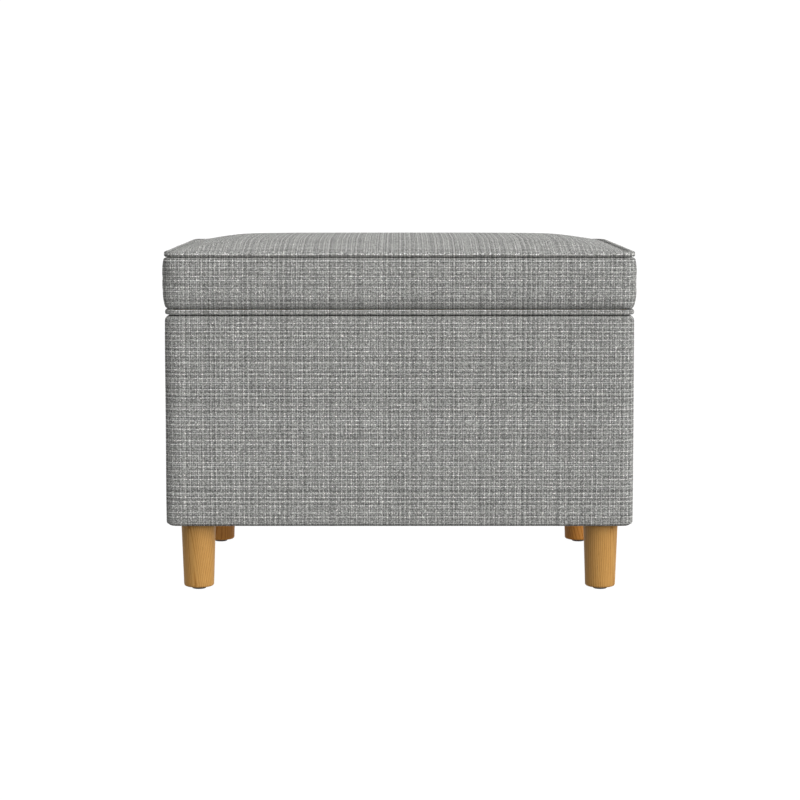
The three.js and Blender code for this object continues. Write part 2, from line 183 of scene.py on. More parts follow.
def new_object(name, data):
    """An object in the scene for a mesh, a curve, a lamp or a camera."""
    made = bpy.data.objects.new(name, data)
    bpy.context.scene.collection.objects.link(made)
    return made


def spread(start, end, steps):
    """Places from start up to, but not including, end."""
    return [start + (end - start) * i / steps for i in range(steps)]


def seam_spread(length, steps):
    """Places from 0 up to length, close together at first, for a seam."""
    close = [0, 0.9 * MM, 2.2 * MM, 4.5 * MM]
    return close + spread(8 * MM, length, steps - len(close))


def outline(form):
    """Points, outward normals and lengths round a form, anticlockwise seen from above.

    They start and end at the middle of the back, and the length is 0 at the middle of the front.
    """
    radius = form.corner
    straight_x, straight_y = form.half_x - radius, form.half_y - radius
    half = LONG_STEPS // 2
    points, normals = [], []

    def side(places, point, normal):
        points.extend(point(place) for place in places)
        normals.extend([normal] * len(places))

    def corner(centre_x, centre_y, quarter):
        for angle in spread(quarter * math.pi / 2, (quarter + 1) * math.pi / 2, CORNER_STEPS):
            out = (math.cos(angle), math.sin(angle))
            points.append((centre_x + radius * out[0], centre_y + radius * out[1]))
            normals.append(out)

    leaving = seam_spread(straight_x, half)
    arriving = list(reversed(leaving))
    side(leaving, lambda t: (-t, form.half_y), (0, 1))
    corner(-straight_x, straight_y, 1)
    side(spread(straight_y, -straight_y, SHORT_STEPS), lambda t: (-form.half_x, t), (-1, 0))
    corner(-straight_x, -straight_y, 2)
    side(spread(-straight_x, straight_x, LONG_STEPS), lambda t: (t, -form.half_y), (0, -1))
    corner(straight_x, -straight_y, 3)
    side(spread(-straight_y, straight_y, SHORT_STEPS), lambda t: (form.half_x, t), (1, 0))
    corner(straight_x, straight_y, 0)
    side([straight_x] + arriving, lambda t: (t, form.half_y), (0, 1))
    points, normals = np.array(points), np.array(normals)
    steps = np.linalg.norm(np.diff(points, axis=0), axis=1)
    lengths = np.concatenate([[0], np.cumsum(steps)])
    return points, normals, lengths - lengths[-1] / 2


class Loft:
    """Level rings carried up a form, each with its own inset, height and place along the cloth."""

    def __init__(self, form):
        self.form = form
        self.normals, self.lengths = outline(form)[1:]
        self.rings = []
        self.along = []

    def ring(self, inset, z, along):
        points = outline(self.form.inset(inset))[0]
        heights = np.full((len(points), 1), z)
        self.rings.append(np.hstack([points, heights]))
        self.along.append(along)

    def profile(self, stations):
        """Rings through [inset, z] stations. The cloth's own length is counted along them."""
        along = 0
        for i, (inset, z) in enumerate(stations):
            if i:
                along += math.dist(stations[i - 1], (inset, z))
            self.ring(inset, z, along)

    def mesh(self, name, closed=False, start=0.0):
        """The rings' mesh, with the cloth's own measures in metres as its UV map."""
        across = len(self.lengths) - 1
        points = np.array([ring[:across] for ring in self.rings]).reshape(-1, 3)
        rows = len(self.rings)
        last = rows if closed else rows - 1
        faces, places = [], []
        for i in range(last):
            above = (i + 1) % rows
            low = self.along[i]
            step = math.dist(self.rings[i][across // 2], self.rings[above][across // 2])
            high = self.along[above] if above else low + step
            for j in range(across):
                right = (j + 1) % across
                faces.append((i * across + j, i * across + right, above * across + right, above * across + j))
                left_u, right_u = self.lengths[j], self.lengths[j + 1]
                places += [(left_u, low), (right_u, low), (right_u, high), (left_u, high)]
        return cloth_mesh(name, points, faces, np.array(places) + (0, start))


def cloth_mesh(name, points, faces, places):
    mesh = bpy.data.meshes.new(name)
    mesh.from_pydata([tuple(point) for point in points], [], faces)
    layer = mesh.uv_layers.new(name="cloth")
    layer.data.foreach_set("uv", np.asarray(places, np.float32).ravel())
    mesh.shade_smooth()
    return mesh


def coordinates(mesh):
    points = np.empty(len(mesh.vertices) * 3, np.float32)
    mesh.vertices.foreach_get("co", points)
    return points.reshape(-1, 3).astype(float)


def set_coordinates(mesh, points):
    mesh.vertices.foreach_set("co", np.asarray(points, np.float32).ravel())
    mesh.update()


def wander(values, pitch, seed):
    """Smooth random numbers from -1 to 1 along values, changing over about one pitch."""
    return np.array([noise.noise(Vector((value / pitch, seed, 0.37))) for value in values])


def solidify(piece, thickness, offset=-1.0):
    modifier = piece.modifiers.new("Thickness", "SOLIDIFY")
    modifier.thickness = thickness
    modifier.offset = offset
    modifier.use_even_offset = True


def mesh_of(piece):
    """A mesh of what a curve or a mesh object shows, its modifiers applied."""
    return bpy.data.meshes.new_from_object(piece.evaluated_get(bpy.context.evaluated_depsgraph_get()))


def mesh_from(name, work):
    """The finished, smooth mesh of a bmesh, which is freed."""
    mesh = bpy.data.meshes.new(name)
    work.to_mesh(mesh)
    work.free()
    mesh.shade_smooth()
    return mesh


def turned_mesh(name, profile, segments):
    """A mesh turned about Z from [radius, z] stations, going up on the outside, with ends on the axis."""
    work = bmesh.new()
    rings = []
    for radius, z in profile:
        if radius == 0:
            rings.append([work.verts.new((0, 0, z))])
            continue
        angles = spread(0, 2 * math.pi, segments)
        rings.append([work.verts.new((radius * math.cos(a), radius * math.sin(a), z)) for a in angles])
    for low, high in zip(rings, rings[1:]):
        for j in range(segments):
            k = (j + 1) % segments
            corners = [low[j % len(low)], low[k % len(low)], high[k % len(high)], high[j % len(high)]]
            kept = [corner for i, corner in enumerate(corners) if corner not in corners[:i]]
            work.faces.new(kept)
    return mesh_from(name, work)


def turned_piece(name, profile, segments=48, angle=50):
    """A turned object, smooth where its profile bends by less than an angle in degrees."""
    piece = new_object(name, turned_mesh(name, profile, segments))
    smooth_by_angle(piece, angle)
    return piece


def joined(name, mesh, places):
    """One object holding a copy of the mesh at each place, each place a matrix."""
    whole = bmesh.new()
    for place in places:
        copy = mesh.copy()
        copy.transform(place)
        whole.from_mesh(copy)
        bpy.data.meshes.remove(copy)
    return new_object(name, mesh_from(name, whole))


def smooth_by_angle(piece, degrees):
    piece.data.set_sharp_from_angle(angle=math.radians(degrees))


# ---------------------------------------------------------------- materials


class Nodes:
    """The nodes of one tree. Sockets and plain numbers are both accepted as inputs."""

    def __init__(self, tree):
        self.tree = tree

    def node(self, kind, inputs=(), **settings):
        node = self.tree.nodes.new(kind)
        for key, value in settings.items():
            setattr(node, key, value)
        for key, value in dict(inputs).items():
            self.feed(node.inputs[key], value)
        return node

    def feed(self, socket, value):
        if isinstance(value, bpy.types.NodeSocket):
            self.tree.links.new(value, socket)
        else:
            socket.default_value = value

    def math(self, operation, a, b=0.0, c=0.0):
        return self.node("ShaderNodeMath", {0: a, 1: b, 2: c}, operation=operation).outputs[0]

    def times(self, *factors):
        product = factors[0]
        for factor in factors[1:]:
            product = self.math("MULTIPLY", product, factor)
        return product

    def line(self, value, slope, offset):
        """value times slope, plus offset."""
        return self.math("MULTIPLY_ADD", value, slope, offset)

    def vector(self, x=0.0, y=0.0, z=0.0):
        return self.node("ShaderNodeCombineXYZ", {0: x, 1: y, 2: z}).outputs[0]

    def split(self, vector):
        return self.node("ShaderNodeSeparateXYZ", {0: vector}).outputs

    def scaled(self, vector, x, y, z):
        inputs = {0: vector, 1: (x, y, z)}
        return self.node("ShaderNodeVectorMath", inputs, operation="MULTIPLY").outputs[0]

    def noise(self, vector, scale=1.0, detail=2.0, roughness=0.5):
        inputs = {"Vector": vector, "Scale": scale, "Detail": detail, "Roughness": roughness}
        return self.node("ShaderNodeTexNoise", inputs).outputs[0]

    def random(self, x, y=0.0):
        """Three random numbers for each whole pair of numbers."""
        vector = self.vector(x, y)
        white = self.node("ShaderNodeTexWhiteNoise", {"Vector": vector}, noise_dimensions="2D")
        return self.split(white.outputs["Color"])

    def ramp(self, value, low, high, to_low=0.0, to_high=1.0):
        """Carries value from one range to another with soft ends."""
        inputs = {0: value, 1: low, 2: high, 3: to_low, 4: to_high}
        made = self.node("ShaderNodeMapRange", inputs, interpolation_type="SMOOTHSTEP")
        return made.outputs[0]

    def blend(self, share, a, b):
        """A share of b and the rest of a, for plain numbers."""
        mix = self.node("ShaderNodeMix", {0: share, 2: a, 3: b}, data_type="FLOAT")
        return mix.outputs[0]

    def colour(self, share, a, b, how="MIX"):
        inputs = {0: share, 6: a, 7: b}
        return self.node("ShaderNodeMix", inputs, data_type="RGBA", blend_type=how).outputs[2]

    def tint(self, value, colour):
        """A grey value in the proportions of a colour."""
        channels = [self.times(value, channel) for channel in colour]
        return self.node("ShaderNodeCombineColor", dict(enumerate(channels))).outputs[0]


class Shader(Nodes):
    """The nodes of one material, round its surface shader."""

    def __init__(self, name, **constants):
        self.material = bpy.data.materials.new(name)
        self.material.use_nodes = True
        super().__init__(self.material.node_tree)
        self.surface = self.tree.nodes["Principled BSDF"]
        for socket, value in constants.items():
            self.surface.inputs[socket.replace("_", " ")].default_value = value

    def set(self, socket, value):
        self.feed(self.surface.inputs[socket], value)

    def place(self):
        return self.node("ShaderNodeTexCoord").outputs["Object"]

    def cloth_place(self):
        return self.node("ShaderNodeUVMap", uv_map="cloth").outputs["UV"]

    def bump(self, height, distance, strength=1.0):
        inputs = {"Height": height, "Distance": distance, "Strength": strength}
        self.set("Normal", self.node("ShaderNodeBump", inputs).outputs[0])


def pale_threads(shader, across, seed):
    """1 on the pale threads, three in each group of yarns, and 1 on the dark yarns beside them."""
    cell = shader.math("FLOOR", shader.math("DIVIDE", across, THREAD_GROUP))
    in_cell = shader.math("SUBTRACT", across, shader.times(cell, THREAD_GROUP))
    draw = shader.random(cell, seed)[0]
    second = shader.line(shader.math("GREATER_THAN", draw, 0.67), 4.0, 6.8)
    third = shader.line(shader.math("LESS_THAN", draw, 0.33), -4.0, 16.8)
    away = []
    for middle in (0.8, second, third):
        away.append(shader.math("ABSOLUTE", shader.math("SUBTRACT", in_cell, middle)))
    nearest = shader.math("MINIMUM", away[0], shader.math("MINIMUM", away[1], away[2]))
    return shader.math("LESS_THAN", nearest, 0.75), shader.math("COMPARE", nearest, 1.25, 0.5)


def yarn_tone(shader, across, along, seed, pale_tone, uneven):
    """The tones of one set of yarns. across counts yarns, along is in metres."""
    number = shader.math("FLOOR", across)
    own, offset = shader.random(number, seed)[:2]
    earlier = shader.random(shader.math("SUBTRACT", number, 3.0), seed)[0]
    evened = shader.line(shader.math("SUBTRACT", own, earlier), 0.5, 0.5)
    row = shader.times(offset, 400.0)
    thickness = shader.noise(shader.vector(shader.times(along, 22.0), row), detail=4.0, roughness=0.6)
    flecks = shader.noise(shader.vector(shader.times(along, 360.0), row), detail=3.0, roughness=0.75)
    slub = shader.ramp(thickness, 0.28, 0.5, 0.72, 1.0)
    on_pale, beside_pale = pale_threads(shader, across, seed + 3)
    grey = shader.blend(evened, BASE_TONE * (1 - uneven), BASE_TONE * (1 + uneven))
    base = shader.times(grey, shader.line(beside_pale, -0.36, 1.04))
    spun = shader.ramp(thickness, 0.25, 0.75, 0.85, 1.15)
    marl = shader.times(shader.ramp(flecks, 0.3, 0.7, 0.55, 1.45), spun)
    return shader.times(shader.blend(shader.times(on_pale, slub), base, pale_tone), marl)


def pillow(shader, across, along):
    """The height of a yarn that passes over another: round across, and bowed along."""
    side = shader.math("SUBTRACT", shader.math("FRACT", across), 0.5)
    middle = shader.math("SUBTRACT", shader.math("FRACT", along), 0.5)
    round_across = shader.math("COSINE", shader.times(side, 2.6))
    bowed = shader.math("COSINE", shader.times(middle, 2.6))
    return shader.times(round_across, shader.line(bowed, 0.5, 0.5))


def tweed():
    """Grey plain-woven tweed with slubby pale threads both ways, laid out in the cloth's own measures."""
    looks = dict(Roughness=0.95, Sheen_Weight=0.02, Sheen_Roughness=0.5, Specular_IOR_Level=0.15)
    shader = Shader("tweed", **looks)
    cloth = shader.cloth_place()
    sway = shader.line(shader.noise(shader.scaled(cloth, 16, 16, 0)), 1.4, -0.7)
    u, v = shader.split(cloth)[:2]
    warp = shader.math("ADD", shader.math("DIVIDE", u, WARP_PITCH), sway)
    weft = shader.math("ADD", shader.math("DIVIDE", v, WEFT_PITCH), sway)
    warp_tone = yarn_tone(shader, warp, v, 11.0, PALE_WARP, 0.75)
    weft_tone = yarn_tone(shader, weft, u, 47.0, PALE_WEFT, 0.8)

    numbers = shader.math("ADD", shader.math("FLOOR", warp), shader.math("FLOOR", weft))
    weft_over = shader.math("FLOORED_MODULO", numbers, 2.0)
    height = shader.blend(weft_over, pillow(shader, warp, weft), pillow(shader, weft, warp))
    weft_share = shader.line(weft_over, 0.7, 0.15)
    tone = shader.blend(weft_share, warp_tone, weft_tone)

    fibres = shader.noise(shader.scaled(cloth, 2600, 2600, 0), detail=3.0, roughness=0.65)
    # Painted shade: the colour is darker in the gaps between the yarns, and a little lighter on their crowns.
    painted_yarn_shading = shader.ramp(height, 0.0, 0.8, 0.62, 1.12)
    fuzz = shader.line(fibres, 0.3, 0.85)
    bead = shader.random(shader.math("FLOOR", warp), shader.math("FLOOR", weft))[1]
    cloud = shader.ramp(shader.noise(shader.scaled(cloth, 430, 430, 0), detail=1.0), 0.28, 0.72, 0.8, 1.2)
    mottle = shader.times(cloud, shader.line(bead, 1.0, 0.5))
    shade = shader.times(tone, mottle, shader.times(painted_yarn_shading, fuzz))
    shader.set("Base Color", shader.tint(shade, (1.0, 1.0, 0.965)))
    shader.bump(shader.line(fibres, 0.35, height), 0.25 * MM, 0.8)
    return shader.material


def lining_cloth():
    """Black non-woven lining: pressed fibres with a fine dotted grid."""
    shader = Shader("lining_cloth", Roughness=0.9, Sheen_Weight=0.1, Specular_IOR_Level=0.3)
    cloth = shader.cloth_place()
    grid = shader.scaled(cloth, 620, 620, 0)
    x, y = shader.split(grid)[:2]
    wave_x = shader.math("SINE", shader.times(x, math.pi))
    wave_y = shader.math("SINE", shader.times(y, math.pi))
    dots = shader.ramp(shader.math("ABSOLUTE", shader.times(wave_x, wave_y)), 0.35, 0.9)
    fibres = shader.noise(shader.scaled(cloth, 900, 900, 0), detail=4.0, roughness=0.7)
    mottle = shader.noise(shader.scaled(cloth, 60, 60, 0), detail=2.0)
    light = shader.times(shader.math("ADD", fibres, mottle), 0.5)
    tone = shader.ramp(light, 0.3, 0.7)
    shader.set("Base Color", shader.colour(tone, (0.013, 0.013, 0.015, 1), (0.034, 0.034, 0.038, 1)))
    shader.bump(shader.line(dots, -0.6, fibres), 0.15 * MM, 0.6)
    return shader.material


def oak():
    """Honey-coloured oak, its grain along Z, cut from a board so that the rings arch on one face."""
    shader = Shader("oak", Specular_IOR_Level=0.12)
    place = shader.place()
    bend = shader.noise(shader.scaled(place, 18, 18, 4), detail=2.0)
    x, y, z = shader.split(place)[:3]
    leaning = shader.line(z, 0.16, x)
    across = shader.math("ADD", leaning, shader.times(bend, 0.012))
    deep = shader.math("ADD", y, 0.024)
    squares = shader.math("ADD", shader.math("POWER", across, 2.0), shader.math("POWER", deep, 2.0))
    ring = shader.times(shader.math("SQRT", squares), 1 / (2.6 * MM))
    growth = shader.math("FRACT", ring)
    early = shader.ramp(growth, 0.0, 0.45, 1.0, 0.0)

    streaks = shader.noise(shader.scaled(place, 900, 900, 22), detail=4.0, roughness=0.6)
    pores = shader.noise(shader.scaled(place, 2100, 2100, 85), detail=2.0)
    open_pores = shader.times(shader.ramp(pores, 0.6, 0.68), shader.blend(early, 0.35, 1.0))
    rays = shader.ramp(shader.noise(shader.scaled(place, 260, 260, 60), detail=1.0), 0.62, 0.7)

    pale = (0.655, 0.35, 0.1, 1)
    amber = (0.5, 0.23, 0.05, 1)
    brown = (0.24, 0.08, 0.007, 1)
    tone = shader.blend(0.55, early, streaks)
    wood = shader.colour(shader.ramp(tone, 0.25, 0.7), pale, amber)
    flecked = shader.colour(shader.times(rays, 0.22), wood, (0.7, 0.42, 0.14, 1))
    timber = shader.colour(shader.times(open_pores, 0.6), flecked, brown)
    # The object's colour tints the oak; on the back legs this tint is painted shade.
    own = shader.node("ShaderNodeObjectInfo").outputs["Color"]
    shader.set("Base Color", shader.colour(1.0, timber, own, "MULTIPLY"))
    shader.set("Roughness", shader.blend(open_pores, 0.52, 0.7))
    shader.bump(shader.line(open_pores, -1.0, streaks), 0.06 * MM, 0.5)
    return shader.material


def board(name, pale, dark, grain):
    """Raw board: plywood with a long grain, or fibreboard with none."""
    shader = Shader(name, Roughness=0.8, Specular_IOR_Level=0.3)
    place = shader.place()
    figure = shader.noise(shader.scaled(place, 12 * grain, 260, 260), detail=4.0, roughness=0.6)
    specks = shader.noise(shader.scaled(place, 1100, 1100, 1100), detail=2.0)
    tone = shader.ramp(shader.blend(0.3, figure, specks), 0.32, 0.68)
    shader.set("Base Color", shader.colour(tone, pale, dark))
    shader.bump(specks, 0.08 * MM, 0.5)
    return shader.material


def soft_filling(name, pale, dark, scale):
    """Foam or wadding: pale, open and matt."""
    shader = Shader(name, Roughness=0.98, Specular_IOR_Level=0.15)
    cells = shader.node("ShaderNodeTexVoronoi", {"Vector": shader.place(), "Scale": scale})
    cloud = shader.noise(shader.place(), scale / 6, detail=3.0)
    # The colour is darker in the hollows of the cells, where the bump is lowest: painted shade.
    depth = shader.ramp(cells.outputs["Distance"], 0.1, 0.7)
    shader.set("Base Color", shader.colour(shader.blend(0.5, depth, cloud), dark, pale))
    shader.bump(depth, 0.3 * MM, 0.6)
    return shader.material


def steel(name, colour, metallic, rough):
    """Rolled and plated, or painted, steel with a fine uneven finish."""
    shader = Shader(name, Metallic=metallic, Specular_IOR_Level=0.5)
    place = shader.place()
    cloud = shader.noise(shader.scaled(place, 220, 220, 220), detail=3.0)
    grain = shader.noise(shader.scaled(place, 2600, 2600, 2600), detail=2.0)
    darker = tuple(channel * 0.8 for channel in colour[:3]) + (1,)
    shader.set("Base Color", shader.colour(shader.ramp(cloud, 0.3, 0.7), darker, colour))
    shader.set("Roughness", shader.ramp(cloud, 0.25, 0.75, rough - 0.08, rough + 0.08))
    shader.bump(grain, 0.03 * MM, 0.4)
    return shader.material


def glide_plastic():
    """Dark moulded plastic, scuffed where it slides."""
    shader = Shader("glide_plastic", Specular_IOR_Level=0.4)
    place = shader.place()
    scuffs = shader.noise(shader.scaled(place, 700, 700, 700), detail=4.0, roughness=0.7)
    worn = shader.ramp(scuffs, 0.5, 0.75)
    shader.set("Base Color", shader.colour(worn, (0.022, 0.016, 0.012, 1), (0.06, 0.048, 0.04, 1)))
    shader.set("Roughness", shader.ramp(scuffs, 0.3, 0.7, 0.42, 0.65))
    shader.bump(scuffs, 0.05 * MM, 0.4)
    return shader.material


def make_materials():
    return {
        "tweed": tweed(),
        "lining_cloth": lining_cloth(),
        "oak": oak(),
        "plywood": board("plywood", (0.62, 0.43, 0.23, 1), (0.48, 0.3, 0.14, 1), grain=1),
        "fibreboard": board("fibreboard", (0.36, 0.25, 0.14, 1), (0.27, 0.18, 0.1, 1), grain=20),
        "foam": soft_filling("foam", (0.82, 0.77, 0.6, 1), (0.66, 0.6, 0.42, 1), scale=900),
        "wadding": soft_filling("wadding", (0.85, 0.85, 0.83, 1), (0.7, 0.7, 0.68, 1), scale=500),
        "zinc_steel": steel("zinc_steel", (0.62, 0.63, 0.64, 1), metallic=1.0, rough=0.36),
        "black_steel": steel("black_steel", (0.024, 0.025, 0.027, 1), metallic=0.0, rough=0.42),
        "glide_plastic": glide_plastic(),
    }


MATERIALS = make_materials()


def finish_piece(piece, slot, body, *nodes):
    """Gives a piece its material, hangs it on its body and lets it stand for CAD nodes."""
    piece.data.materials.clear()
    piece.data.materials.append(MATERIALS[slot])
    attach(piece, body)
    if nodes:
        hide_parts(*nodes)


def dress_cad_nodes():
    """The CAD nodes that stay get their material too."""
    slots = {part["node"]: part["material_slot"] for part in frame["record"]["subparts"]}
    for name, node in frame["nodes"].items():
        node.data.materials.clear()
        node.data.materials.append(MATERIALS[slots[name]])
        smooth_by_angle(node, 30)


# ---------------------------------------------------------------- cloth at work


def settle(piece, pins, pressure, most):
    """Lets stretched cloth swell against its seams, and keeps each point within most of its start."""
    start = coordinates(piece.data)
    held = piece.vertex_groups.new(name="held")
    held.add([int(i) for i in pins], 1.0, "REPLACE")
    cloth = piece.modifiers.new("Cloth", "CLOTH")
    for name, value in STRETCHED_CLOTH.items():
        setattr(cloth.settings, name, value)
    cloth.settings.uniform_pressure_force = pressure
    cloth.settings.effector_weights.gravity = 0
    cloth.settings.vertex_group_mass = held.name
    cloth.collision_settings.use_collision = False
    scene = bpy.context.scene
    for step in range(1, SETTLING_FRAMES + 1):
        scene.frame_set(step)
    settled = piece.evaluated_get(bpy.context.evaluated_depsgraph_get()).to_mesh()
    shift = coordinates(settled) - start
    length = np.maximum(np.linalg.norm(shift, axis=1, keepdims=True), 1e-9)
    piece.modifiers.remove(cloth)
    piece.vertex_groups.remove(held)
    scene.frame_set(1)
    set_coordinates(piece.data, start + shift / length * most * np.tanh(length / most))


def seam_pucker(lengths, distances, depth, seed, pitch=9 * MM, reach=9 * MM):
    """Short folds where stitches draw the cloth in. They fade at the seam and far away from it."""
    folds = wander(lengths, pitch, seed) + 0.8 * wander(lengths, pitch * 3, seed + 5)
    return depth * folds * np.exp(-((distances / reach) ** 2)) * (1 - np.exp(-distances / (2 * MM)))


def back_seam(lengths, end, depth=0.9 * MM, width=1.6 * MM):
    """How far in the upright seam at the middle of the back draws the cloth."""
    return depth * np.exp(-(((end - np.abs(lengths)) / width) ** 2))


# ---------------------------------------------------------------- seat


def rounded_grid(form, count_x, count_y):
    """A grid of points that fills a form, its outer rings taking on the round corners."""
    a = np.linspace(-1, 1, count_x + 1)[None, :].repeat(count_y + 1, axis=0)
    b = np.linspace(-1, 1, count_y + 1)[:, None].repeat(count_x + 1, axis=1)
    ring = np.maximum(np.abs(a), np.abs(b))
    radius = np.maximum(form.corner * ring**10, 1e-6)
    core_x, core_y = form.half_x * ring - radius, form.half_y * ring - radius
    over_x = np.abs(a) * form.half_x - core_x
    over_y = np.abs(b) * form.half_y - core_y
    far = np.maximum(np.hypot(over_x, over_y), 1e-9)
    in_corner = (over_x > 0) & (over_y > 0)
    pull = np.where(in_corner, np.maximum(over_x, over_y) / far, 1)
    x = np.sign(a) * np.where(in_corner, core_x + over_x * pull, np.abs(a) * form.half_x)
    y = np.sign(b) * np.where(in_corner, core_y + over_y * pull, np.abs(b) * form.half_y)
    return np.stack([x, y], axis=-1)


def crown(distance):
    """The share of its full height that the seat has at a distance from its edge."""
    return 1 - np.exp(-distance / SEAT_ROLL)


def make_seat():
    """The domed seat cover: drawn down into the groove behind the welt, and full in the middle."""
    form = LID.inset(2 * TOP_WELT_RADIUS - 1.1 * MM)
    count_x, count_y = SEAT_GRID
    flat = rounded_grid(form, count_x, count_y)
    x, y = flat[..., 0], flat[..., 1]
    from_side, from_front = form.half_x - np.abs(x), form.half_y - np.abs(y)
    edge = TOP_WELT_Z - 0.6 * MM
    lip = 2.1 * MM
    near = np.minimum(from_side, from_front)
    fullness = 0.6 * MM  # how far the middle of the cover is stretched above its CAD solid
    rise = SEAT_TOP + fullness - edge - lip
    z = edge + lip * (1 - np.exp(-near / (2.5 * MM))) + rise * crown(from_side) * crown(from_front)
    along_edge = np.where(from_side < from_front, y + 3, x).ravel()
    pucker = seam_pucker(along_edge, near.ravel(), depth=0.5 * MM, seed=3.1)
    z = z - pucker.reshape(z.shape)
    seat = new_object("seat", sheet_mesh("seat", np.dstack([x, y, z])))
    number = np.arange(x.size).reshape(x.shape)
    border = np.concatenate([number[0], number[-1], number[:, 0], number[:, -1]])
    settle(seat, border, pressure=2.0, most=1.2 * MM)
    solidify(seat, COVER)
    finish_piece(seat, "tweed", "lid", "seat_cover")


def make_foam():
    """The lid's foam, a little smaller than its cover, standing on the lid's board."""
    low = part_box("lid_foam")[0].z
    loft = Loft(LID)
    gap = 2.5 * MM
    sides = 10
    for i in range(sides + 1):
        share = i / sides
        loft.ring(band_inset(share) + gap, low + (BAND_HIGH - low) * share, share)
    shoulder = 2 * TOP_WELT_RADIUS
    rise = SEAT_TOP - gap - TOP_WELT_Z
    for distance in (2, 8, 18, 32, 50, 74, 118):
        inset = shoulder + distance * MM
        loft.ring(inset, TOP_WELT_Z - gap + rise * float(crown(distance * MM)), inset)
    mesh = loft.mesh("foam_block")
    close_ends(mesh)
    foam = new_object("foam_block", mesh)
    finish_piece(foam, "foam", "lid", "lid_foam")


def close_ends(mesh):
    """Closes the two open ends of a lofted mesh."""
    work = bmesh.new()
    work.from_mesh(mesh)
    open_edges = [edge for edge in work.edges if edge.is_boundary]
    bmesh.ops.holes_fill(work, edges=open_edges, sides=0)
    work.to_mesh(mesh)
    work.free()


# ---------------------------------------------------------------- lid's sides


def band_inset(share):
    """How far in from the lid's outline the band lies, from its bottom seam (0) to its top one (1)."""
    height = BAND_HIGH - BAND_LOW
    inset = LID.half_x - BAND_OUTER
    for from_seam, draws in ((height * share, LOWER_DRAW), (height * (1 - share), UPPER_DRAW)):
        inset += sum(depth * math.exp(-from_seam / reach) for depth, reach in draws)
    return inset


def make_band():
    """The lid's side band, swelling between its two seams."""
    low, high = BAND_LOW - 0.8 * MM, BAND_HIGH + 0.4 * MM
    by_seam = [distance * MM / (high - low) for distance in SEAM_ROWS]
    shares = [*by_seam, *np.linspace(0.07, 0.93, 19), *[1 - share for share in reversed(by_seam)]]
    rows = len(shares) - 1
    loft = Loft(LID)
    stations = [(band_inset(share), low + (high - low) * share) for share in shares]
    loft.profile(stations)
    lengths = loft.lengths
    for ring, (_, z) in zip(loft.rings, stations):
        distance = min(z - low, high - z)
        seed = 7.7 if z > (low + high) / 2 else 9.2
        draw = seam_pucker(lengths, distance, depth=0.3 * MM, seed=seed)
        draw += back_seam(lengths, lengths[-1])
        ring[:, :2] -= loft.normals * draw[:, None]
    band = new_object("side_band", loft.mesh("side_band", start=low))
    across = len(lengths) - 1
    pins = list(range(across)) + list(range(rows * across, (rows + 1) * across))
    settle(band, pins, pressure=3.0, most=1.0 * MM)
    solidify(band, COVER)
    finish_piece(band, "tweed", "lid", "lid_band")


def clear_of_hinges(points):
    """Presses the points of the lower welt up and away from the hinge barrels and leaves."""
    clearance = BARREL_RADIUS + 0.5 * MM
    leaf_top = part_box("lid_lining")[0].z
    for point in points:
        beside = abs(abs(point[0]) - HINGE_AXIS.x) - HINGE_REACH
        press = min(max(1 - beside / (6 * MM), 0), 1)
        if press == 0 or point[1] < LID.half_y - 25 * MM:
            continue
        raised = max(point[2], leaf_top)
        off = Vector((0, point[1] - HINGE_AXIS.y, raised - HINGE_AXIS.z))
        if off.length < clearance:
            off *= clearance / off.length
        point[1] += (HINGE_AXIS.y + off.y - point[1]) * press
        point[2] += (HINGE_AXIS.z + off.z - point[2]) * press


def pressed(part, squareness):
    """Takes the sine or cosine of a circle to that of a slightly square cord."""
    return math.copysign(abs(part) ** squareness, part)


def make_welt(name, node, radius, middle_z, outer, squareness, seed):
    """A cord covered in the same cloth, carried round the lid, with its ends joined at the back."""
    sides = 18
    loft = Loft(LID)
    base = outline(LID)[0]
    lengths = loft.lengths
    full = 1 + 0.035 * wander(lengths, 14 * MM, seed) + 0.02 * wander(lengths, 5 * MM, seed + 2)
    swing = 0.15 * MM * wander(lengths, 30 * MM, seed + 4)
    joint = np.abs(np.abs(lengths) - lengths[-1])
    full += 0.1 * np.exp(-((joint / (7 * MM)) ** 2)) - 0.2 * np.exp(-((joint / (1.2 * MM)) ** 2))
    for i in range(sides):
        angle = 2 * math.pi * i / sides - math.pi / 2
        inset = outer + radius - radius * full * pressed(math.cos(angle), squareness)
        across = base - loft.normals * inset[:, None]
        height = middle_z + swing + radius * full * pressed(math.sin(angle), squareness)
        ring = np.column_stack([across, height])
        loft.rings.append(ring)
        loft.along.append(middle_z + radius * angle + seed * MM)
    if node == "bottom_welt":
        for ring in loft.rings:
            clear_of_hinges(ring)
    welt = new_object(name, loft.mesh(name, closed=True))
    finish_piece(welt, "tweed", "lid", node)


# ---------------------------------------------------------------- box


def quarter_turn(centre_inset, centre_z, radius, start, end, steps=6, tall=1.0):
    """[inset, z] stations round an edge. Angles in degrees: 0 points outward and 90 up."""
    stations = []
    for angle in np.linspace(math.radians(start), math.radians(end), steps + 1):
        stations.append((centre_inset - radius * math.cos(angle), centre_z + tall * radius * math.sin(angle)))
    return stations


def padded_rim(loft, stations, outer, inner):
    """Rounds the rim's top up between two insets, except where the hinge leaves lie on it."""
    for ring, (inset, z) in zip(loft.rings, stations):
        if z < BODY_HIGH - 1e-6 or not outer < inset < inner:
            continue
        beside = np.abs(np.abs(ring[:, 0]) - HINGE_AXIS.x) - HINGE_REACH
        free = np.where(ring[:, 1] > 0, np.clip(beside / (14 * MM) - 0.35, 0, 1), 1)
        rise = RIM_RISE * math.sin(math.pi * (inset - outer) / (inner - outer))
        ring[:, 2] += rise * free * free * (3 - 2 * free)


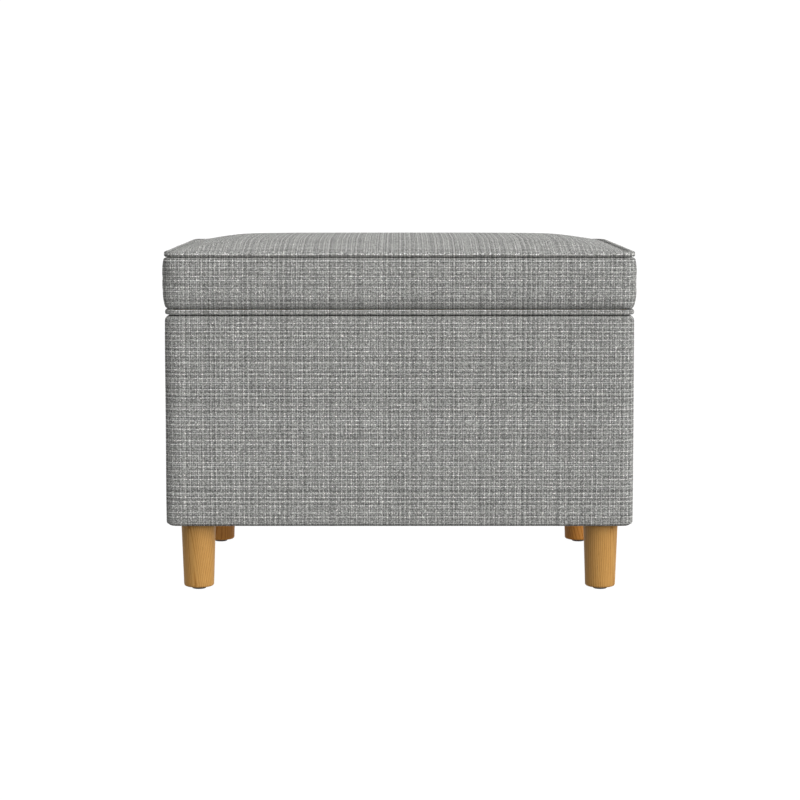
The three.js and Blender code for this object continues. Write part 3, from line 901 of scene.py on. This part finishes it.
def make_body_cover():
    """The box's cover: turned under at the foot, over the rim and down inside it."""
    hem, foot_round, rim_tall, fold_round, wall_rows = 30 * MM, 6 * MM, 1.8, 1.5 * MM, 34
    rim_inner = FOLD - fold_round
    foot = quarter_turn(foot_round, BODY_LOW + foot_round, foot_round, -90, 0)
    rim = quarter_turn(RIM_ROUND, BODY_HIGH - rim_tall * RIM_ROUND, RIM_ROUND, 0, 90, steps=8, tall=rim_tall)
    wall = [(0, z) for z in np.linspace(foot[-1][1], rim[0][1], wall_rows + 1)[1:-1]]
    inner = quarter_turn(rim_inner, BODY_HIGH - fold_round, fold_round, 90, 180, steps=3)
    stations = [(hem, BODY_LOW), (hem / 2, BODY_LOW), *foot, *wall, *rim]
    stations += [(inset, BODY_HIGH) for inset in np.linspace(RIM_ROUND, rim_inner, 9)[1:-1]]
    stations += [*inner, (FOLD, BODY_HIGH - 12 * MM), (FOLD, BODY_HIGH - 24 * MM)]
    loft = Loft(BODY)
    loft.profile(stations)
    padded_rim(loft, stations, RIM_ROUND, rim_inner)
    lengths = loft.lengths
    for ring, (inset, z) in zip(loft.rings, stations):
        if inset < 1 * MM:
            fullness = 0.4 * MM + 0.7 * MM * (BODY_HIGH - z) / (BODY_HIGH - BODY_LOW)
            depth = 0.35 * MM * wander(lengths, 90 * MM, 4 + z * 12) - fullness
            ring[:, :2] -= loft.normals * (depth + back_seam(lengths, lengths[-1]))[:, None]
    reach = sum(math.dist(a, b) for a, b in zip(stations, stations[1:]) if b[1] <= foot[-1][1])
    cover = new_object("tweed_cover", loft.mesh("tweed_cover", start=foot[-1][1] - reach))
    across = len(lengths) - 1
    free = range((2 + len(foot)) * across, (2 + len(foot) + len(wall)) * across)
    pins = sorted(set(range(len(cover.data.vertices))) - set(free))
    settle(cover, pins, pressure=1.0, most=0.5 * MM)
    solidify(cover, COVER)
    finish_piece(cover, "tweed", "base", "body_cover")


def make_storage_lining():
    """Black lining round the inside of the box, smooth along its top and with slight waves lower down."""
    low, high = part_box("storage_lining")
    inset = BODY.half_x - high.x
    rows = 24
    loft = Loft(BODY)
    heights = [*np.linspace(low.z, high.z - 18 * MM, rows), high.z - 16 * MM, high.z - 1 * MM, high.z]
    stations = [(inset + 0.1 * MM, float(z)) for z in heights]
    loft.profile(stations)
    lengths = loft.lengths
    for ring, (_, z) in zip(loft.rings, stations):
        calm = math.exp(-(((high.z - z) / (50 * MM)) ** 2))
        wave = 0.12 * MM * wander(lengths, 60 * MM, 2 + z * 9) * (1 - calm)
        ring[:, :2] -= loft.normals * wave[:, None]
    mesh = loft.mesh("compartment_lining", start=low.z)
    mesh.flip_normals()
    lining = new_object("compartment_lining", mesh)
    solidify(lining, LINING, offset=1.0)
    finish_piece(lining, "lining_cloth", "base", "storage_lining")


def sheet_mesh(name, points):
    """A mesh on a grid of points, rows of columns, with their x and y as its UV map."""
    rows, wide = points.shape[:2]
    flat = points.reshape(-1, 3)
    faces, places = [], []
    for i in range(rows - 1):
        for j in range(wide - 1):
            corners = [i * wide + j, i * wide + j + 1, (i + 1) * wide + j + 1, (i + 1) * wide + j]
            faces.append(corners)
            places += [flat[corner][:2] for corner in corners]
    return cloth_mesh(name, flat, faces, places)


def level_sheet(name, form, z, shape):
    """A level sheet of cloth that fills a form. shape gives each point's lift."""
    step = 10 * MM
    flat = rounded_grid(form, round(2 * form.half_x / step), round(2 * form.half_y / step))
    lifts = np.array([[shape(x, y) for x, y in row] for row in flat])
    return new_object(name, sheet_mesh(name, np.dstack([flat, z + lifts])))


def finish_sheet(sheet, thickness, body, node):
    """Turns a level sheet to face down and gives it its thickness."""
    sheet.data.flip_normals()
    solidify(sheet, thickness)
    finish_piece(sheet, "lining_cloth", body, node)


def make_dust_cover():
    """Black cloth under the box, sagging a little between its staples."""
    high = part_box("dust_cover")[1]
    form = form_of("dust_cover", 2 * MM)
    legs = [middle_of(f"leg_{name}") for name in LEGS]

    def sag(x, y):
        edge = min(form.half_x - abs(x), form.half_y - abs(y))
        leg = min(math.hypot(x - at.x, y - at.y) for at in legs) - 30 * MM
        room = max(min(edge, leg), 0)
        ripple = 0.6 * MM * noise.noise(Vector((x * 14, y * 14, 1.5)))
        return -(1.6 * MM + ripple) * (1 - math.exp(-room / (45 * MM)))

    cover = level_sheet("dust_cloth", form, high.z - 0.1 * MM, sag)
    finish_sheet(cover, 0.5 * MM, "base", "dust_cover")


def slab(name, low, high, edge):
    """A board wrapped in cloth: a flat box with round edges."""
    work = bmesh.new()
    size, middle = high - low, (high + low) / 2
    bmesh.ops.create_cube(work, size=1.0, matrix=Matrix.Translation(middle) @ Matrix.Diagonal((*size, 1)))
    bmesh.ops.bevel(work, geom=work.edges[:], offset=edge, segments=3, affect="EDGES", profile=0.5)
    layer = work.loops.layers.uv.new("cloth")
    for face in work.faces:
        for loop in face.loops:
            place = loop.vert.co
            loop[layer].uv = (place.x + place.z, place.y)
    piece = new_object(name, mesh_from(name, work))
    smooth_by_angle(piece, 50)
    return piece


def make_storage_floor():
    low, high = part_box("storage_floor")
    floor = slab("compartment_floor", low, high, edge=1.2 * MM)
    finish_piece(floor, "lining_cloth", "base", "storage_floor")


def make_lid_lining():
    """Black cloth under the lid, a little wider than its CAD sheet, sagging slightly away from its edges and
    lying flat by the hinges.
    """
    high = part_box("lid_lining")[1]
    form = LID.inset(LID.half_x - high.x - 1.2 * MM)

    def soft(x, y):
        edge = min(form.half_x - abs(x), form.half_y - abs(y))
        hinge = abs(abs(x) - HINGE_AXIS.x) - HINGE_REACH
        free = 1 - math.exp(-max(edge, 0) / (20 * MM))
        if y > form.half_y - 40 * MM and hinge < 10 * MM:
            free = 0
        return -0.25 * MM * free * (1 + noise.noise(Vector((x * 11, y * 11, 4.0))))

    lining = level_sheet("lid_underlining", form, high.z - 0.2 * MM, soft)
    finish_sheet(lining, 0.6 * MM, "lid", "lid_lining")


# ---------------------------------------------------------------- legs


def make_leg(name, turn, tone):
    """A turned oak leg with its small round foot edge, and the blind hole for its bolt."""
    low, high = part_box(f"leg_{name}")
    middle, top_radius, height = (low + high) / 2, (high.x - low.x) / 2, high.z - low.z
    foot_radius, edge = 19.8 * MM, 3 * MM
    lean = math.atan2(top_radius - foot_radius, height)
    foot = [
        (foot_radius - edge + edge * math.sin(angle), edge - edge * math.cos(angle))
        for angle in np.linspace(0, math.pi / 2 - lean, 7)
    ]
    shaft = [
        (foot_radius + (top_radius - foot_radius) * share, edge + (height - edge) * share)
        for share in np.linspace(0, 1, 17)[1:-1]
    ]
    hole, hole_end = 4.3 * MM, height - 28 * MM
    top = [(top_radius - 0.15 * MM, height - 0.5 * MM), (top_radius - 0.6 * MM, height)]
    bore = [(hole, height), (hole, hole_end), (0, hole_end)]
    leg = turned_piece(f"oak_leg_{name}", [(0, 0), *foot, *shaft, *top, *bore], segments=72)
    leg.location = (middle.x, middle.y, low.z)
    leg.rotation_euler = (0, 0, math.radians(turn))
    # tone tints the leg's oak: painted shade on the back legs.
    leg.color = tone
    finish_piece(leg, "oak", "base", f"leg_{name}")


def make_glide(name):
    """A nail-on glide: a domed dark disc under the leg."""
    low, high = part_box(f"glide_{name}")
    middle, radius = middle_of(f"glide_{name}"), half_of(f"glide_{name}").x
    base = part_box(f"leg_{name}")[0].z - low.z
    profile = [
        (0, 0),
        (radius - 2.2 * MM, 0),
        (radius - 1.1 * MM, 0.25 * MM),
        (radius - 0.35 * MM, 0.9 * MM),
        (radius, 1.8 * MM),
        (radius, base - 0.7 * MM),
        (radius - 0.3 * MM, base - 0.25 * MM),
        (1 * MM, base - 0.25 * MM),
        (1 * MM, high.z - low.z - 2 * MM),
        (0, high.z - low.z),
    ]
    glide = turned_piece(f"glide_disc_{name}", profile)
    glide.location = (middle.x, middle.y, low.z)
    finish_piece(glide, "glide_plastic", "base", f"glide_{name}")


# ---------------------------------------------------------------- steel fittings


def refined(name, node, slot, body, bevel):
    """A copy of a CAD solid with its edges broken and its round faces smooth."""
    mesh = frame["nodes"][node].data.copy()
    mesh.name = name
    work = bmesh.new()
    work.from_mesh(mesh)
    bmesh.ops.remove_doubles(work, verts=work.verts, dist=0.001 * MM)
    bmesh.ops.dissolve_limit(work, angle_limit=math.radians(1), verts=work.verts, edges=work.edges)
    work.to_mesh(mesh)
    work.free()
    piece = new_object(name, mesh)
    edges = piece.modifiers.new("Edges", "BEVEL")
    edges.width = bevel
    edges.segments = 2
    edges.limit_method = "ANGLE"
    edges.angle_limit = math.radians(50)
    edges.harden_normals = False
    mesh.shade_smooth()
    smooth_by_angle(piece, 50)
    finish_piece(piece, slot, body, node)
    return piece


def lay(piece, node):
    """Lays a piece turned about Z along X, in the place of its CAD solid."""
    piece.data.transform(Matrix.Translation(middle_of(node)) @ Matrix.Rotation(math.pi / 2, 4, "Y"))


def make_rivet(name, node, body):
    """A rivet with a low domed head at each end, in place of its CAD solid."""
    half, _, head = half_of(node)
    shank = head / 2
    dome = 1.1 * MM
    arc = [(head * math.cos(a), dome * math.sin(a)) for a in np.linspace(0.25, math.pi / 2, 7)]
    upper = [(radius if i < 6 else 0, half - dome + rise) for i, (radius, rise) in enumerate(arc)]
    upper = [(shank, half - dome), (head, half - dome), *upper]
    lower = [(radius, -z) for radius, z in reversed(upper)]
    rivet = turned_piece(name, [*lower, *upper], segments=32, angle=40)
    lay(rivet, node)
    finish_piece(rivet, "zinc_steel", body, node)


def screw_head(radius, height, recess):
    """A low domed head on z = 0 with a cross recess of the given length and width."""
    arc = [(radius * math.cos(a), height * math.sin(a)) for a in np.linspace(0.3, math.pi / 2, 7)]
    profile = [(0, -0.4 * MM), (radius, -0.4 * MM)]
    profile += [(width if i < 6 else 0, rise) for i, (width, rise) in enumerate(arc)]
    head = new_object("screw_head", turned_mesh("screw_head", profile, segments=28))
    for turn in (0, math.pi / 2):
        blade = bmesh.new()
        size = Matrix.Diagonal((*recess, height + 0.3 * MM, 1))
        place = Matrix.Translation((0, 0, height)) @ Matrix.Rotation(turn, 4, "Z") @ size
        bmesh.ops.create_cube(blade, size=1.0, matrix=place)
        tool_mesh = bpy.data.meshes.new("blade")
        blade.to_mesh(tool_mesh)
        blade.free()
        tool = new_object("blade", tool_mesh)
        cut = head.modifiers.new("Recess", "BOOLEAN")
        cut.operation = "DIFFERENCE"
        cut.solver = "EXACT"
        cut.object = tool
        carved = mesh_of(head)
        head.modifiers.clear()
        head.data = carved
        bpy.data.objects.remove(tool)
    mesh = head.data
    bpy.data.objects.remove(head)
    return mesh


def staple():
    """The crown of a wire staple lying along X on z = 0, its ends bent in."""
    half, wire = 5 * MM, 0.45 * MM
    curve = bpy.data.curves.new("staple", "CURVE")
    curve.dimensions = "3D"
    curve.bevel_depth = wire
    curve.bevel_resolution = 2
    curve.use_fill_caps = True
    path = [(-half, 1.5), (-half, 0.4), (-half + 0.6 * MM, 0), (half - 0.6 * MM, 0), (half, 0.4), (half, 1.5)]
    line = curve.splines.new("POLY")
    line.points.add(len(path) - 1)
    for point, (x, depth) in zip(line.points, path):
        point.co = (x, 0, depth * MM, 1)
    wire_object = new_object("staple", curve)
    mesh = mesh_of(wire_object)
    bpy.data.objects.remove(wire_object)
    return mesh


def staples_round(name, body, low, high, z, pitch, skip=None):
    """Staples along the four edges of a sheet's underside, at slightly uneven angles."""
    places = []
    from_corner = 20 * MM
    count_x, count_y = round((high.x - low.x) / pitch), round((high.y - low.y) / pitch)
    along_x = np.linspace(low.x + from_corner, high.x - from_corner, count_x)
    along_y = np.linspace(low.y + from_corner, high.y - from_corner, count_y)
    edges = [(x, y, 0) for x in along_x for y in (low.y, high.y)]
    edges += [(x, y, 90) for y in along_y for x in (low.x, high.x)]
    for number, (x, y, turn) in enumerate(edges):
        if skip and skip(x, y):
            continue
        askew = 9 * noise.noise(Vector((number * 1.7, 0.2, 0.6)))
        turned = Matrix.Rotation(math.radians(turn + askew), 4, "Z")
        places.append(Matrix.Translation((x, y, z)) @ turned)
    piece = joined(name, staple(), places)
    finish_piece(piece, "zinc_steel", body)


def make_staples():
    inset = Vector((9 * MM, 9 * MM, 0))
    low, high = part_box("dust_cover")
    staples_round("dust_cloth_staples", "base", low + inset, high - inset, low.z - 0.3 * MM, pitch=44 * MM)
    low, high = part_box("lid_lining")

    def on_hinge(x, y):
        return y > 0 and abs(abs(x) - HINGE_AXIS.x) < HINGE_REACH + 8 * MM

    staples_round("lid_staples", "lid", low + inset, high - inset, low.z - 0.2 * MM, 40 * MM, on_hinge)


def make_hinges():
    for side, _ in SIDES:
        for part, body in (("box_leaf", "base"), ("lid_leaf", "lid")):
            refined(f"{side}_{part}", f"{side}_hinge_{part}", "zinc_steel", body, bevel=0.25 * MM)
        half, _, radius = half_of(f"{side}_hinge_pin")
        profile = [(0, -half), (radius - 0.4 * MM, -half), (radius, -half + 0.4 * MM)]
        profile += [(across, -z) for across, z in reversed(profile)]
        pin = turned_piece(f"{side}_pin", profile, segments=24, angle=40)
        lay(pin, f"{side}_hinge_pin")
        finish_piece(pin, "zinc_steel", "base", f"{side}_hinge_pin")


def make_stays():
    for side, _ in SIDES:
        lower, upper = f"{side}_lower_stay", f"{side}_upper_stay"
        for part, body, bevel in (
            ("box_bracket", "base", 0.3 * MM),
            ("lid_bracket", "lid", 0.3 * MM),
            ("lower_arm", lower, 0.4 * MM),
            ("upper_arm", upper, 0.4 * MM),
        ):
            refined(f"{side}_{part}", f"{side}_stay_{part}", "black_steel", body, bevel)
        for part, body in (("box_rivet", "base"), ("elbow_rivet", lower), ("lid_rivet", "lid")):
            make_rivet(f"{side}_{part}", f"{side}_stay_{part}", body)


def outer_x(node):
    """How far a node reaches from the middle of the ottoman, to either side."""
    return max(abs(corner.x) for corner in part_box(node))


def make_screws():
    """Screw heads in the holes of the hinge leaves and of the stays' brackets.

    Those of the box brackets are sunk, because the lower arm passes over them.
    """
    pan = screw_head(radius=3.4 * MM, height=1.3 * MM, recess=(3.8 * MM, 0.75 * MM))
    sunk = screw_head(radius=1.8 * MM, height=0.3 * MM, recess=(2.4 * MM, 0.5 * MM))
    leaf_pitch, end_hole, middle_hole = 20 * MM, 12 * MM, 17 * MM  # in a hinge leaf
    sinking = 1.15 * MM  # from the face of a box bracket's plate
    down = Matrix.Rotation(math.pi, 4, "X")
    box_leaf, lid_leaf, box_bracket, lid_bracket = [], [], [], []
    pin_low, pin_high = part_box("right_hinge_pin")
    for side, sign in SIDES:
        for step in (-1, 0, 1):
            x = sign * HINGE_AXIS.x + step * leaf_pitch
            y = HINGE_AXIS.y - (end_hole if step else middle_hole)
            box_leaf.append(Matrix.Translation((x, y, pin_low.z + 0.15 * MM)))
            lid_leaf.append(Matrix.Translation((x, y, pin_high.z - 0.15 * MM)) @ down)
        inward = Matrix.Rotation(-sign * math.pi / 2, 4, "Y")
        plate_outer = sign * outer_x(f"{side}_stay_box_bracket")
        pivot = middle_of(f"{side}_stay_box_rivet")
        for step in (-24, 24):
            place = (plate_outer - sign * sinking, pivot.y, pivot.z + step * MM)
            box_bracket.append(Matrix.Translation(place) @ inward)
        bracket = f"{side}_stay_lid_bracket"
        for step in (-6, 6):
            x, y = sign * (outer_x(bracket) - 15 * MM), middle_of(bracket).y + step * MM
            place = (x, y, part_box(bracket)[1].z - 1.5 * MM)
            lid_bracket.append(Matrix.Translation(place) @ down)
    for name, head, places, body in (
        ("box_leaf_screws", pan, box_leaf, "base"),
        ("lid_leaf_screws", pan, lid_leaf, "lid"),
        ("box_bracket_screws", sunk, box_bracket, "base"),
        ("lid_bracket_screws", pan, lid_bracket, "lid"),
    ):
        piece = joined(name, head, places)
        smooth_by_angle(piece, 35)
        finish_piece(piece, "zinc_steel", body)


# ---------------------------------------------------------------- studio


def make_cove():
    """A white floor that curves up into a wall all round, lit evenly enough to read as plain white."""
    reach, bend, height, segments = 9.0, 2.5, 8.0, 96
    angles = np.linspace(0, math.pi / 2, 17)
    curve = [(reach - bend + bend * math.sin(a), bend - bend * math.cos(a)) for a in angles]
    mesh = turned_mesh("studio_cove", [(0, 0), *curve, (reach, height)], segments)
    cove = new_object("studio_cove", mesh)
    shader = Shader("studio_white", Roughness=1.0, Specular_IOR_Level=0.0, Emission_Strength=1.0)
    shader.surface.inputs["Base Color"].default_value = (0.06, 0.06, 0.06, 1)
    shader.surface.inputs["Emission Color"].default_value = (1, 1, 1, 1)
    mesh.materials.append(shader.material)
    cove.visible_shadow = False
    cove.visible_diffuse = False


def make_sun(name, toward, strength, softness):
    """A distant soft lamp. toward points from the object to the lamp."""
    lamp = bpy.data.lights.new(name, "SUN")
    lamp.energy = strength
    lamp.angle = math.radians(softness)
    sun = new_object(name, lamp)
    sun.rotation_euler = Vector(toward).to_track_quat("Z", "Y").to_euler()


def make_surround():
    """Light from all round: a bright ceiling, dim walls, and a pale floor in shade close by."""
    world = bpy.data.worlds.new("surround")
    bpy.context.scene.world = world
    world.use_nodes = True
    nodes = Nodes(world.node_tree)
    direction = nodes.node("ShaderNodeTexCoord").outputs["Generated"]
    x, _, z = nodes.split(direction)[:3]
    from_side = nodes.ramp(x, -1.0, 1.0, *FLOOR_LIGHT)
    floor = nodes.math("MULTIPLY", from_side, nodes.ramp(z, -0.8, -0.15))
    ceiling = nodes.ramp(z, 0.6, 0.95, *CEILING_LIGHT)
    light = nodes.blend(nodes.ramp(z, -0.12, 0.12), floor, ceiling)
    background = world.node_tree.nodes["Background"].inputs
    background["Color"].default_value = (1, 1, 1, 1)
    nodes.feed(background["Strength"], light)


def make_lights():
    make_sun("key", KEY_LIGHT, strength=1.55, softness=35)
    make_sun("front_fill", FRONT_LIGHT, strength=0.8, softness=60)
    make_sun("back_fill", BACK_LIGHT, strength=1.0, softness=60)
    make_surround()


def make_camera():
    lens = bpy.data.cameras.new("camera")
    lens.sensor_width = 36
    lens.lens = LENS
    lens.clip_end = 50
    camera = new_object("camera", lens)
    camera.location = (CAMERA_ASIDE, -LID.half_y - CAMERA_DISTANCE, CAMERA_HEIGHT)
    camera.rotation_euler = (math.radians(90 - CAMERA_DOWN), 0, 0)
    bpy.context.scene.camera = camera
    bpy.context.scene.view_settings.view_transform = "Standard"


make_camera()
make_cove()
make_lights()
dress_cad_nodes()
make_seat()
make_foam()
make_band()
make_welt("seat_welt", "top_welt", **UPPER_CORD)
make_welt("lower_welt", "bottom_welt", **LOWER_CORD)
make_body_cover()
make_storage_lining()
make_dust_cover()
make_storage_floor()
make_lid_lining()
for leg_name, grain_turn, leg_shade_tint in zip(LEGS, GRAIN_TURNS, LEG_SHADE_TINTS):
    make_leg(leg_name, grain_turn, leg_shade_tint)
    make_glide(leg_name)
make_hinges()
make_stays()
make_screws()
make_staples()
